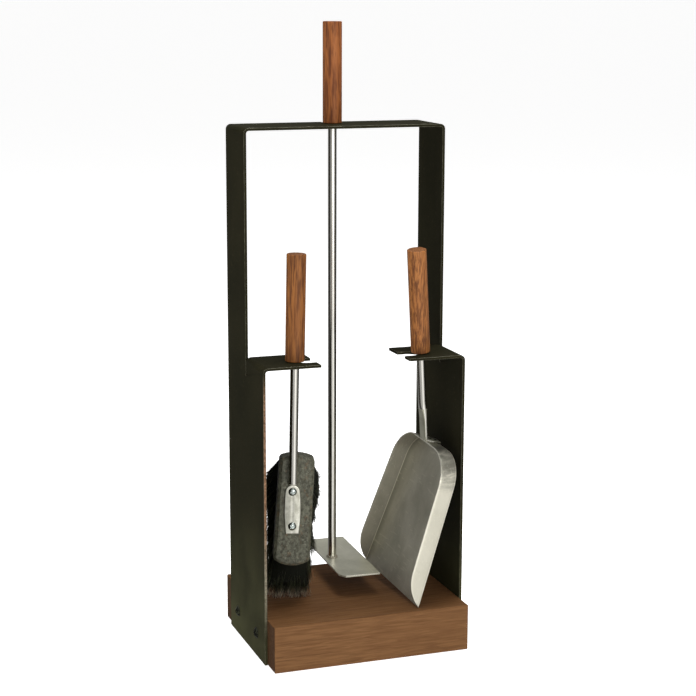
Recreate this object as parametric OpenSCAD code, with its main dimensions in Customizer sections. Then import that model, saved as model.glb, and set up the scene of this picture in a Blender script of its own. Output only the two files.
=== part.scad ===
// Fireplace tool set: a stand bent from sheet steel on a wooden base block, which carries
// a long scraper, a hand brush and a small shovel, each with a turned wooden handle.
// Millimetres. Origin at the centre of the underside, +X right, +Y to the rear, +Z up.

/* [Stand] */
// Width over both legs
stand_w = 240; // [230:5:280]
// Height of the top strap above the floor
stand_h = 600; // [560:10:680]
// Depth of the legs below the side brackets
lower_d = 142; // [136:2:160]
// Depth of the top strap and of the upper legs, flush with the lower legs at the rear
upper_d = 74; // [68:2:84]
// Height of the side brackets above the floor
shoulder_h = 343; // [330:1:370]
// Thickness of the sheet
sheet_t = 3; // [2.5:0.5:4]
// Inside radius of the bends
bend_r = 3; // [2:0.5:5]
// Gap between the tips of the two side brackets
tip_gap = 105; // [95:1:115]

/* [Slots] */
// Width of the necks that the tubes stand in
neck_w = 12; // [11.5:0.5:14]
// Width of the open mouths of the side brackets
mouth_w = 23; // [20:1:28]
// Distance from the middle to the round ends of the side necks
hook_x = 76; // [75.5:0.5:80]
// Place of the side slots, front to rear
hook_y = -43; // [-46:1:-40]
// Place of the scraper's tube, front to rear
scraper_y = 46; // [40:1:50]

/* [Base block] */
// Depth of the wooden block
base_d = 198; // [180:2:220]
// Height of the wooden block
base_h = 54; // [45:1:55]
// Rounding of the block's edges
base_round = 1.5; // [0.5:0.5:4]

/* [Handles and tubes] */
// Diameter of the wooden handles
handle_d = 22; // [20:1:28]
// Length of the scraper's handle
scraper_grip = 115; // [90:1:140]
// Length of the brush's handle
brush_grip = 121; // [90:1:140]
// Length of the shovel's handle
shovel_grip = 121; // [90:1:140]
// Outer diameter of the tubes
tube_d = 10; // [8:0.5:10.5]
// Wall of the tubes
tube_wall = 1.5; // [1:0.5:2]

/* [Scraper] */
// Length of the blade
blade_l = 148; // [120:2:160]
// Width of the blade
blade_w = 48; // [40:1:50]
// Thickness of the blade
blade_t = 2; // [1.5:0.5:3]
// Height of the blade's upper face above the floor
blade_z = 80; // [75:1:90]
// Distance from the tube's axis to the blade's near long edge
blade_side = 11.5; // [8:0.5:20]

/* [Brush] */
// Width of the brush block at its lower end
block_w = 42.4; // [38:0.4:48]
// Length of the brush block
block_l = 130.5; // [120:0.5:140]
// Thickness of the brush block
block_t = 20; // [16:1:24]
// Length of the bristles outside the block
bristle_l = 55; // [40:1:56]

/* [Shovel] */
// Width of the pan at its lip
lip_w = 147; // [130:1:150]
// Width of the pan at its rear wall
rear_w = 120; // [110:1:130]
// Length of the pan
pan_l = 177; // [160:1:182]
// Height of the pan's walls
wall_h = 21; // [16:1:24]
// Radius of the pan's rear corners
corner_r = 38; // [25:1:50]
// Angle between the tube and the pan's floor
pan_angle = 22.8; // [10:0.2:30]

/* [Hidden] */
$fn = 64;

rear_y = lower_d / 2;
step_y = rear_y - upper_d;
tip_x = tip_gap / 2;
bend_out = bend_r + sheet_t;
// Laser-cut slit and relief hole that free each bracket's bend from the upper leg
slit_w = 0.8;
slit_l = 14;
relief_d = 3;
// Distance from the end of the mouth's round to the middle of the neck's round end
neck_l = 3;
// Clearance around fixed pins and screws, and how far a cut runs past a face
fit = 0.05;
over = 1;
// Thickness of the end slabs that a change of section is drawn between
slab_t = 0.5;

// Wood screws through the legs into the block
frame_screw_y = 38;
frame_screw_z = 28;
frame_screw = [13, 3.4, 5, 32];      // head diameter, head height, shank diameter, shank length
plate_screw = [9.6, 2.6, 3.6, 15];
recess_w = 1.4;
recess_share = 0.6;                  // length of the recess for the head's diameter
recess_floor = 0.45;                 // height of its floor for the head's height
point_share = 1.2;                   // length of the point for the shank's diameter
point_d = 0.6;

// Tubes and handles
seat_l = 55;
handle_round = 1.2;
brush_x = -74.5;
shovel_x = 76.4;
// How the tools stand in their slots, in degrees, and how far each handle is lifted by its tilt
scraper_turn = -2;
brush_lean = 1.1;
brush_turn = -14;
shovel_lean_x = -5.2;
shovel_lean_y = 5.9;
shovel_turn = 3.8;
scraper_lift = 0.1;
brush_lift = 0.35;
shovel_lift = 1.65;

// Scraper
corner_cut = [6, 8.5];
weld_w = 2.6;
weld_toe = 0.3;                      // thickness of the bead at its thin edges
weld_gap = 0.02;

// Brush, measured down from the top face of its bracket
block_top = 110;
block_shift = 2.6;
block_turn = 2.5;
block_taper = 2.6;
block_top_r = 48;                    // radius of the curve across its upper end
block_low_r = 34;                    // and across its lower end
block_corner_r = 5;
block_bevel = 3.5;
block_face_y = tube_d / 2;
plate_top = 143.5;
plate_l = 58;
plate_w = 19.5;
plate_t = 2.2;
plate_side_r = 200;
plate_dome_r = 8.6;
plate_foot_w = 17.2;
plate_corner_r = 2.6;
plate_screw_z = [151.6, 192.3];
flare_l = 2.5;
root_z = [116, 154, 193, 232];       // where the bristle fields begin and end
root_angle = [38, 47, 60, 76];       // how far the bristles hang down there, in degrees
root_half = 17.5;
tip_half = [33, 31.5, 29, 24.5];     // half of the fan's width there

// Shovel, measured down from the top face of its bracket
pan_t = 1.2;
strap_w = 15;
strap_t = 3.8;
squash_top = 58;
squash_end = 84;
strap_bend = 105.6;
rim_gap = 1.4;
strap_foot = 3;
rim_start = 138;
rivet = [5.6, 0.5, 3.6];             // head diameter, head height, shank diameter
rivet_n = [15, 7];
taper_a = atan((lip_w - rear_w) / 2 / pan_l);

// ---- shared shapes ----

module ring_quarter(r_in, t) {
    intersection() {
        difference() {
            circle(r_in + t);
            circle(r_in);
        }
        square(r_in + t);
    }
}

// Rounded rectangle, centred
module round_rect(w, h, r) {
    square([w - 2 * r, h], center = true);
    square([w, h - 2 * r], center = true);
    for (x = [-1, 1], y = [-1, 1])
        translate([x * (w / 2 - r), y * (h / 2 - r)]) circle(r);
}

// Round bar with rounded end edges, standing on z = 0
module round_bar(d, h, r) {
    rotate_extrude() {
        square([d / 2 - r, h]);
        translate([0, r]) square([d / 2, h - 2 * r]);
        for (z = [r, h - r]) translate([d / 2 - r, z]) circle(r);
    }
}

// Dome of diameter d and height h on z = 0
module dome(d, h) {
    ball_r = (d * d / 4 + h * h) / (2 * h);
    rotate_extrude()
        intersection() {
            translate([0, h - ball_r]) circle(ball_r, $fn = 180);
            square([d / 2, h]);
        }
}

// Round-head screw with a cross recess, its head on z = 0 and its shank below
module screw(size, turn) {
    tip_l = size[2] * point_share;
    difference() {
        dome(size[0], size[1]);
        for (a = [turn, turn + 90])
            rotate([0, 0, a])
                translate([-size[0] * recess_share / 2, -recess_w / 2, size[1] * recess_floor])
                    cube([size[0] * recess_share, recess_w, size[1]]);
    }
    translate([0, 0, -size[3] + tip_l]) cylinder(d = size[2], h = size[3] - tip_l);
    translate([0, 0, -size[3]]) cylinder(d1 = point_d, d2 = size[2], h = tip_l);
}

module tube(z_low, z_high) {
    difference() {
        translate([0, 0, z_low]) cylinder(d = tube_d, h = z_high - z_low);
        translate([0, 0, z_low - over])
            cylinder(d = tube_d - 2 * tube_wall, h = z_high - z_low + 2 * over);
    }
}

// Turned wooden handle that stands lift above its bracket, bored for the tube
module handle(l, lift) {
    difference() {
        translate([0, 0, lift]) round_bar(handle_d, l, handle_round);
        translate([0, 0, lift - over]) cylinder(d = tube_d + 2 * fit, h = seat_l + over);
    }
}

// ---- stand ----

// One leg and half of the strap or tab above it, in the X-Z plane
module bent_half(top, inner_x) {
    leg_x = stand_w / 2 - sheet_t;
    translate([leg_x, 0]) square([sheet_t, top - bend_out]);
    translate([leg_x - bend_r, top - bend_out]) ring_quarter(bend_r, sheet_t);
    translate([inner_x, top - sheet_t]) square([leg_x - bend_r - inner_x, sheet_t]);
}

module sheet_run(y_front, y_rear) {
    translate([0, y_rear, 0]) rotate([90, 0, 0]) linear_extrude(y_rear - y_front) children();
}

// Keyhole outline of a side slot: a wide mouth that runs into a narrow round-ended neck
module side_slot() {
    mouth_end = hook_x - mouth_w / 2 - neck_l;
    translate([tip_x - over, -mouth_w / 2]) square([mouth_end - tip_x + over, mouth_w]);
    translate([mouth_end, 0]) circle(d = mouth_w);
    translate([mouth_end, -neck_w / 2]) square([hook_x - mouth_end, neck_w]);
    translate([hook_x, 0]) circle(d = neck_w);
}

module stand_half() {
    slit_top = shoulder_h + over;
    slit_low = shoulder_h - bend_out - slit_l;
    difference() {
        union() {
            sheet_run(step_y, rear_y) bent_half(stand_h, 0);
            sheet_run(-rear_y, step_y) bent_half(shoulder_h, tip_x);
        }
        translate([0, hook_y, shoulder_h - sheet_t - over])
            linear_extrude(sheet_t + 2 * over) side_slot();
        translate([tip_x - over, step_y - slit_w, slit_low])
            cube([stand_w / 2, slit_w, slit_top - slit_low]);
        translate([stand_w / 2 - sheet_t - over, step_y - slit_w / 2, slit_low])
            rotate([0, 90, 0]) cylinder(d = relief_d, h = sheet_t + 2 * over);
        for (y = [-1, 1])
            translate([stand_w / 2 - sheet_t - over, y * frame_screw_y, frame_screw_z])
                rotate([0, 90, 0])
                    cylinder(d = frame_screw[2] + 2 * fit, h = sheet_t + 2 * over);
    }
}

module stand_frame() {
    color([0.15, 0.13, 0.11])
        difference() {
            union() {
                stand_half();
                mirror([1, 0, 0]) stand_half();
            }
            translate([0, scraper_y, stand_h - sheet_t - over]) {
                cylinder(d = neck_w, h = sheet_t + 2 * over);
                translate([-neck_w / 2, 0, 0])
                    cube([neck_w, rear_y - scraper_y + over, sheet_t + 2 * over]);
            }
        }
}

module base_block() {
    w = stand_w - 2 * sheet_t;
    pilot_l = frame_screw[3] - sheet_t + over;
    color([0.45, 0.28, 0.18])
        difference() {
            intersection() {
                linear_extrude(base_h) round_rect(w, base_d, base_round);
                translate([0, base_d / 2, base_h / 2])
                    rotate([90, 0, 0]) linear_extrude(base_d) round_rect(w, base_h, base_round);
                translate([-w / 2, 0, base_h / 2])
                    rotate([90, 0, 90]) linear_extrude(w) round_rect(base_d, base_h, base_round);
            }
            for (x = [-1, 1], y = [-1, 1])
                translate([x * w / 2, y * frame_screw_y, frame_screw_z])
                    rotate([0, -90 * x, 0])
                        translate([0, 0, -over])
                            cylinder(d = frame_screw[2] + 2 * fit, h = pilot_l + over);
        }
}

module leg_screw(side, y, turn) {
    color([0.12, 0.11, 0.1])
        translate([side * stand_w / 2, y, frame_screw_z])
            rotate([0, side * 90, 0]) screw(frame_screw, turn);
}

module screw_left_front() { leg_screw(-1, -frame_screw_y, 20); }
module screw_left_rear() { leg_screw(-1, frame_screw_y, 65); }
module screw_right_front() { leg_screw(1, -frame_screw_y, 40); }
module screw_right_rear() { leg_screw(1, frame_screw_y, 10); }

// ---- scraper ----

module place_scraper() {
    translate([0, scraper_y, 0]) rotate([0, 0, scraper_turn]) children();
}

module scraper_handle() {
    color([0.5, 0.27, 0.18])
        place_scraper() translate([0, 0, stand_h]) handle(scraper_grip, scraper_lift);
}

module scraper_shaft() {
    color([0.75, 0.75, 0.73])
        place_scraper() tube(blade_z, stand_h + scraper_lift + seat_l - over);
}

module scraper_blade() {
    x0 = -blade_side;
    x1 = blade_w - blade_side;
    y1 = blade_l / 2;
    color([0.6, 0.6, 0.55])
        place_scraper()
            translate([0, 0, blade_z - blade_t])
                linear_extrude(blade_t)
                    polygon([
                        [x0, y1], [x0, corner_cut[1] - y1], [x0 + corner_cut[0], -y1],
                        [x1, -y1], [x1, y1]
                    ]);
}

// Weld bead around the tube's foot
module scraper_weld() {
    r_in = tube_d / 2 + weld_gap;
    color([0.4, 0.4, 0.38])
        place_scraper()
            translate([0, 0, blade_z])
                rotate_extrude()
                    difference() {
                        translate([r_in, 0]) square(weld_w);
                        translate([r_in + weld_w, weld_w]) circle(weld_w - weld_toe);
                    }
}

// ---- brush: z = 0 is the top face of the left bracket, the tube runs down from it ----

module place_brush() {
    translate([brush_x, hook_y, shoulder_h])
        rotate([0, brush_lean, 0]) rotate([0, 0, brush_turn]) children();
}

module place_block() {
    translate([block_shift, block_face_y, -block_top - block_l / 2])
        rotate([0, block_turn, 0]) children();
}

// Outline of the brush block in the X-Z plane: tapered, with curved ends and rounded corners
module block_outline(inset) {
    top_half = (block_w - block_taper) / 2;
    low_half = block_w / 2;
    z = block_l / 2;
    offset(r = block_corner_r - inset) offset(delta = -block_corner_r)
        intersection() {
            polygon([[-low_half, -z], [low_half, -z], [top_half, z], [-top_half, z]]);
            union() {
                translate([0, z - block_top_r]) circle(block_top_r, $fn = 180);
                translate([0, block_low_r - z]) circle(block_low_r, $fn = 180);
            }
        }
}

// Plate outline in the X-Z plane: barrel sides, a round top, and its middle at the origin
module plate_outline() {
    z = plate_l / 2;
    foot_x = plate_foot_w / 2 - plate_corner_r;
    intersection() {
        translate([plate_w / 2 - plate_side_r, 0]) circle(plate_side_r, $fn = 360);
        translate([plate_side_r - plate_w / 2, 0]) circle(plate_side_r, $fn = 360);
        union() {
            translate([0, z - plate_dome_r]) circle(plate_dome_r);
            translate([-plate_w / 2, plate_corner_r - z])
                square([plate_w, plate_l - plate_corner_r - plate_dome_r]);
            translate([-foot_x, -z]) square([2 * foot_x, plate_l / 2]);
            for (side = [-1, 1]) translate([side * foot_x, plate_corner_r - z]) circle(plate_corner_r);
        }
    }
}

module plate_screw_holes(d) {
    for (z = plate_screw_z)
        translate([0, block_face_y + plate_screw[3] + over, -z])
            rotate([90, 0, 0]) cylinder(d = d, h = plate_screw[3] + plate_t + 2 * over);
}

module brush_handle() {
    color([0.55, 0.32, 0.18]) place_brush() handle(brush_grip, brush_lift);
}

// Tube whose lower end runs out flat against the plate's top
module brush_shaft() {
    color([0.75, 0.75, 0.73])
        place_brush() {
            tube(flare_l - plate_top, brush_lift + seat_l - over);
            hull() {
                translate([0, 0, flare_l - plate_top]) cylinder(d = tube_d, h = slab_t, $fn = 32);
                translate([-tube_d / 2, block_face_y - plate_t, -plate_top + fit])
                    cube([tube_d, plate_t - fit, slab_t]);
            }
        }
}

module brush_plate() {
    color([0.78, 0.78, 0.74])
        place_brush()
            difference() {
                translate([0, block_face_y, -plate_top - plate_l / 2])
                    rotate([90, 0, 0]) linear_extrude(plate_t) plate_outline();
                plate_screw_holes(plate_screw[2] + 2 * fit);
            }
}

module block_screw(i, turn) {
    color([0.8, 0.8, 0.78])
        place_brush()
            translate([0, block_face_y - plate_t, -plate_screw_z[i]])
                rotate([90, 0, 0]) screw(plate_screw, turn);
}

module brush_screw_upper() { block_screw(0, 15); }
module brush_screw_lower() { block_screw(1, 50); }

module brush_block() {
    color([0.28, 0.28, 0.24])
        place_brush()
            difference() {
                place_block()
                    hull() {
                        translate([0, block_t, 0])
                            rotate([90, 0, 0])
                                linear_extrude(block_t - block_bevel) block_outline(0);
                        translate([0, block_t, 0])
                            rotate([90, 0, 0]) linear_extrude(block_t) block_outline(block_bevel);
                    }
                plate_screw_holes(plate_screw[2] + 2 * fit);
            }
}

// One field of bristles between two root heights: a wedge that fans out and hangs down
module bristle_field(i) {
    back_y = block_t;
    mid_z = block_top + block_l / 2;
    points = [
        for (k = [i, i + 1], far = [0, 1], side = [-1, 1])
            [
                side * (far == 1 ? tip_half[k] : root_half),
                back_y + far * bristle_l * cos(root_angle[k]),
                mid_z - root_z[k] - far * bristle_l * sin(root_angle[k])
            ]
    ];
    color([0.08, 0.08, 0.07])
        place_brush() place_block()
            polyhedron(points, [
                [0, 2, 3], [0, 3, 1], [4, 5, 7], [4, 7, 6],
                [0, 1, 5], [0, 5, 4], [2, 6, 7], [2, 7, 3],
                [0, 4, 6], [0, 6, 2], [1, 3, 7], [1, 7, 5]
            ]);
}

module brush_bristles_top() { bristle_field(0); }
module brush_bristles_middle() { bristle_field(1); }
module brush_bristles_bottom() { bristle_field(2); }

// ---- shovel: z = 0 is the top face of the right bracket, the tube runs down from it ----

module place_shovel() {
    translate([shovel_x, hook_y, shoulder_h])
        rotate([0, shovel_lean_x, 0]) rotate([shovel_lean_y, 0, 0]) rotate([0, 0, shovel_turn])
            children();
}

// The pan's own axes: X across it, Y from the rear wall to the lip, Z out of its floor
module place_pan() {
    translate([0, 0, -strap_bend])
        rotate([0, pan_angle, 0]) rotate([-90, 0, 90])
            translate([0, strap_t / 2, -wall_h - rim_gap]) children();
}

function pan_half(y) = rear_w / 2 + y * tan(taper_a);

// Outline of the pan, moved in by inset, with true arcs at its rear corners
module pan_outline(inset) {
    cx = pan_half(corner_r) - corner_r / cos(taper_a);
    r = corner_r - inset;
    end_y = inset > 0 ? pan_l + over : pan_l;
    side_x = cx + r * cos(taper_a);
    side_y = corner_r - r * sin(taper_a);
    end_x = pan_half(end_y) - inset / cos(taper_a);
    polygon([[-cx, inset], [cx, inset], [side_x, side_y], [end_x, end_y],
             [-end_x, end_y], [-side_x, side_y]]);
    for (side = [-1, 1]) translate([side * cx, corner_r]) circle(r, $fn = 96);
}

// Cuts the side walls down to the lip along an arc
module lip_cut() {
    run = pan_l - rim_start;
    arc_r = (run * run + wall_h * wall_h) / (2 * wall_h);
    translate([-lip_w, 0, 0])
        rotate([90, 0, 90])
            linear_extrude(2 * lip_w)
                difference() {
                    translate([rim_start, pan_t]) square([run + over, wall_h]);
                    translate([rim_start, wall_h - arc_r]) circle(arc_r, $fn = 180);
                }
}

module rivet_holes(d) {
    for (n = rivet_n)
        translate([0, pan_t + over, n])
            rotate([90, 0, 0]) cylinder(d = d, h = pan_t + strap_t + 2 * over);
}

module shovel_handle() {
    color([0.6, 0.36, 0.2]) place_shovel() handle(shovel_grip, shovel_lift);
}

// Tube, pressed flat at its lower end and bent down behind the pan's rear wall
module shovel_shaft() {
    foot_l = wall_h + rim_gap - strap_foot;
    color([0.72, 0.72, 0.68])
        place_shovel() {
            tube(-squash_top, shovel_lift + seat_l - over);
            hull() {
                translate([0, 0, -squash_top]) cylinder(d = tube_d, h = slab_t, $fn = 48);
                translate([-strap_t / 2, -strap_w / 2, -squash_end])
                    cube([strap_t, strap_w, slab_t]);
            }
            difference() {
                translate([0, strap_w / 2, 0])
                    rotate([90, 0, 0])
                        linear_extrude(strap_w) {
                            translate([-strap_t / 2, -strap_bend])
                                square([strap_t, strap_bend - squash_end + slab_t]);
                            translate([0, -strap_bend]) circle(strap_t / 2);
                            translate([0, -strap_bend])
                                rotate(-pan_angle) translate([0, -strap_t / 2])
                                    square([foot_l, strap_t]);
                        }
                place_pan() rivet_holes(rivet[2] + 2 * fit);
            }
        }
}

module shovel_pan() {
    color([0.62, 0.62, 0.58])
        place_shovel() place_pan()
            difference() {
                linear_extrude(wall_h) pan_outline(0);
                translate([0, 0, pan_t]) linear_extrude(wall_h) pan_outline(pan_t);
                lip_cut();
                rivet_holes(rivet[2] + 2 * fit);
            }
}

// Rivet through the strap and the rear wall, with a dome outside and a flat head inside
module pan_rivet(i) {
    color([0.7, 0.7, 0.67])
        place_shovel() place_pan()
            translate([0, 0, rivet_n[i]]) {
                translate([0, -strap_t, 0]) rotate([90, 0, 0]) dome(rivet[0], rivet[1]);
                translate([0, pan_t, 0])
                    rotate([90, 0, 0]) cylinder(d = rivet[2], h = pan_t + strap_t);
                translate([0, pan_t, 0]) rotate([-90, 0, 0]) dome(rivet[0], rivet[1] / 2);
            }
}

module shovel_rivet_upper() { pan_rivet(0); }
module shovel_rivet_lower() { pan_rivet(1); }

base_block();
stand_frame();
screw_left_front();
screw_left_rear();
screw_right_front();
screw_right_rear();
scraper_handle();
scraper_shaft();
scraper_blade();
scraper_weld();
brush_handle();
brush_shaft();
brush_plate();
brush_screw_upper();
brush_screw_lower();
brush_block();
brush_bristles_top();
brush_bristles_middle();
brush_bristles_bottom();
shovel_handle();
shovel_shaft();
shovel_pan();
shovel_rivet_upper();
shovel_rivet_lower();
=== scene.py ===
"""Looks of the fireplace tool set: stand, scraper, brush and shovel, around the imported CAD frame."""

import math
import random

import bmesh
import bpy
from mathutils import Matrix, Vector, noise


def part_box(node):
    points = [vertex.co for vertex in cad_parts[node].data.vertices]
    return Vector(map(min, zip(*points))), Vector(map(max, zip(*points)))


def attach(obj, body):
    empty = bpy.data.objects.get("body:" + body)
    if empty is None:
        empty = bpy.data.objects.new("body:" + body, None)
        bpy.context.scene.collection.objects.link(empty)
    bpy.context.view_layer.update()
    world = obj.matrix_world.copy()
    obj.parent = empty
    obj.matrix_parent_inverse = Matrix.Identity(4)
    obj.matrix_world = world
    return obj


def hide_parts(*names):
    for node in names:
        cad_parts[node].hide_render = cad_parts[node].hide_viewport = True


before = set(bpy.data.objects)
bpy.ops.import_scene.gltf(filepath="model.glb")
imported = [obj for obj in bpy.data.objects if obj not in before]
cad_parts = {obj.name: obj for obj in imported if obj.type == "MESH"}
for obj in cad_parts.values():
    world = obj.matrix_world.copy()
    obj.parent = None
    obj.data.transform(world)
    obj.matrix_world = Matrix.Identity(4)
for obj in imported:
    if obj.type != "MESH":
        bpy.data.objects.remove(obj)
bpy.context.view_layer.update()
MM = 0.001

# How the brush and the shovel stand in their slots, as in the CAD source
SHOULDER_H = 343 * MM
HOOK_Y = -43 * MM
BRUSH_X = -74.5 * MM
SHOVEL_X = 76.4 * MM
BRUSH_LEAN = math.radians(1.1)
BRUSH_TURN = math.radians(-14)
SHOVEL_LEAN_X = math.radians(-5.2)
SHOVEL_LEAN_Y = math.radians(5.9)
SHOVEL_TURN = math.radians(3.8)

# Brush block and its bristle field
BLOCK_L = 130.5 * MM
BLOCK_T = 20 * MM
BLOCK_TOP = 110 * MM
BLOCK_SHIFT = 2.6 * MM
BLOCK_TURN = math.radians(2.5)
BLOCK_FACE_Y = 5 * MM
ROOT_TOP = 116 * MM
ROOT_END = 232 * MM
ROOT_HALF = 17.5 * MM
TIP_HALVES = [(0.0, 32.5 * MM), (0.14, 35 * MM), (0.45, 28 * MM), (0.66, 26 * MM), (1.0, 23.8 * MM)]
BRISTLE_L = 55 * MM
LEG_SIDE_EXTRA = 2 * MM
ASH_LEAST = 0.12

# Spade plate on the brush block
PLATE_TOP = 143.5 * MM
PLATE_L = 58 * MM
PLATE_W = 19.5 * MM
PLATE_T = 2.2 * MM
PLATE_SIDE_R = 200 * MM
PLATE_DOME_R = 8.6 * MM
PLATE_FOOT_HALF = 8.6 * MM
PLATE_CORNER_R = 2.6 * MM

# Shovel: its pan and the flattened end of its tube
TUBE_R = 5 * MM
PAN_ANGLE = math.radians(22.8)
PAN_L = 177 * MM
PAN_T = 1.2 * MM
LIP_HALF = 73.5 * MM
REAR_HALF = 60 * MM
WALL_H = 21 * MM
CORNER_R = 38 * MM
RIM_GAP = 1.4 * MM
RIM_START = 138 * MM
FOLD_R = 1.2 * MM
REAR_STEPS = 7
STRAP_W = 15 * MM
STRAP_T = 3.8 * MM
STRAP_BEND = 105.6 * MM
STRAP_FOOT = 3 * MM
SQUASH_TOP = 58 * MM
SQUASH_END = 84 * MM


# ---- places ----


def turn(angle, axis):
    return Matrix.Rotation(angle, 4, axis)


def brush_place():
    """From the brush's own axes, with its tube on Z, to the row frame."""
    at = Matrix.Translation((BRUSH_X, HOOK_Y, SHOULDER_H))
    return at @ turn(BRUSH_LEAN, "Y") @ turn(BRUSH_TURN, "Z")


def block_place():
    """From the brush block's axes, its face on Y = 0 and its middle at the origin, to the row frame."""
    at = Matrix.Translation((BLOCK_SHIFT, BLOCK_FACE_Y, -BLOCK_TOP - BLOCK_L / 2))
    return brush_place() @ at @ turn(BLOCK_TURN, "Y")


def shovel_place():
    """From the shovel's own axes, with its tube on Z, to the row frame."""
    at = Matrix.Translation((SHOVEL_X, HOOK_Y, SHOULDER_H))
    return at @ turn(SHOVEL_LEAN_X, "Y") @ turn(SHOVEL_LEAN_Y, "X") @ turn(SHOVEL_TURN, "Z")


def pan_place():
    """From the pan's axes (X across, Y from rear wall to lip, Z out of its floor) to the row frame."""
    bend = Matrix.Translation((0, 0, -STRAP_BEND)) @ turn(PAN_ANGLE, "Y")
    own = turn(math.radians(90), "Z") @ turn(math.radians(-90), "X")
    rear = Matrix.Translation((0, STRAP_T / 2, -WALL_H - RIM_GAP))
    return shovel_place() @ bend @ own @ rear


# ---- material helpers ----


def fill_ramp(ramp, stops, ease="LINEAR"):
    """Sets a colour ramp's stops, given as (position, grey or colour)."""
    ramp.interpolation = ease
    while len(ramp.elements) < len(stops):
        ramp.elements.new(0.5)
    for element, (position, colour) in zip(ramp.elements, stops):
        element.position = position
        grey = isinstance(colour, (int, float))
        element.color = (colour, colour, colour, 1) if grey else (*colour, 1)


class Nodes:
    """A material's node tree, with short calls for the nodes used here."""

    def __init__(self, name):
        self.material = bpy.data.materials.new(name)
        self.material.use_nodes = True
        self.tree = self.material.node_tree
        self.shader = self.tree.nodes["Principled BSDF"]

    def add(self, kind, links=None, **values):
        node = self.tree.nodes.new(kind)
        for key, value in values.items():
            setattr(node, key, value)
        for socket, value in (links or {}).items():
            self.feed(node.inputs[socket], value)
        return node

    def feed(self, socket, value):
        if isinstance(value, bpy.types.NodeSocket):
            self.tree.links.new(value, socket)
        else:
            socket.default_value = value

    def set(self, **values):
        for key, value in values.items():
            self.feed(self.shader.inputs[key.replace("_", " ")], value)
        return self

    def place(self, scale=(1, 1, 1), rotation=(0, 0, 0), location=(0, 0, 0)):
        """Object coordinates in metres, moved so that location is at 0, turned and then scaled."""
        where = self.add("ShaderNodeTexCoord").outputs["Object"]
        if any(location):
            where = self.add("ShaderNodeVectorMath", {0: where, 1: location}, operation="SUBTRACT").outputs[0]
        if any(rotation):
            where = self.add("ShaderNodeMapping", {"Vector": where, "Rotation": rotation}).outputs[0]
        return self.add("ShaderNodeVectorMath", {0: where, 1: scale}, operation="MULTIPLY").outputs[0]

    def noise(self, vector, scale, detail=4.0, roughness=0.55, distortion=0.0):
        links = {"Vector": vector, "Scale": scale, "Detail": detail, "Roughness": roughness}
        links["Distortion"] = distortion
        return self.add("ShaderNodeTexNoise", links).outputs["Fac"]

    def ramp(self, value, stops, ease="LINEAR"):
        """Grey or colour ramp; stops are (position, grey or colour)."""
        node = self.add("ShaderNodeValToRGB", {"Fac": value})
        fill_ramp(node.color_ramp, stops, ease)
        return node.outputs["Color"]

    def mix(self, factor, a, b, kind="MIX"):
        node = self.add("ShaderNodeMix", data_type="RGBA", blend_type=kind)
        self.feed(node.inputs[0], factor)
        for index, value in ((6, a), (7, b)):
            plain = isinstance(value, bpy.types.NodeSocket)
            self.feed(node.inputs[index], value if plain else (*value, 1))
        return node.outputs[2]

    def math(self, kind, a, b=0.0):
        return self.add("ShaderNodeMath", {0: a, 1: b}, operation=kind).outputs[0]

    def bump(self, height, distance, strength=1.0, below=None):
        links = {"Height": height, "Distance": distance, "Strength": strength}
        if below is not None:
            links["Normal"] = below
        return self.add("ShaderNodeBump", links).outputs["Normal"]


def shade(rgb):
    """A colour given as the eye sees it, 0 to 255, as linear light."""
    parts = [c / 255 for c in rgb]
    return tuple(c / 12.92 if c <= 0.04045 else ((c + 0.055) / 1.055) ** 2.4 for c in parts)


# ---- materials ----


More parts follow.
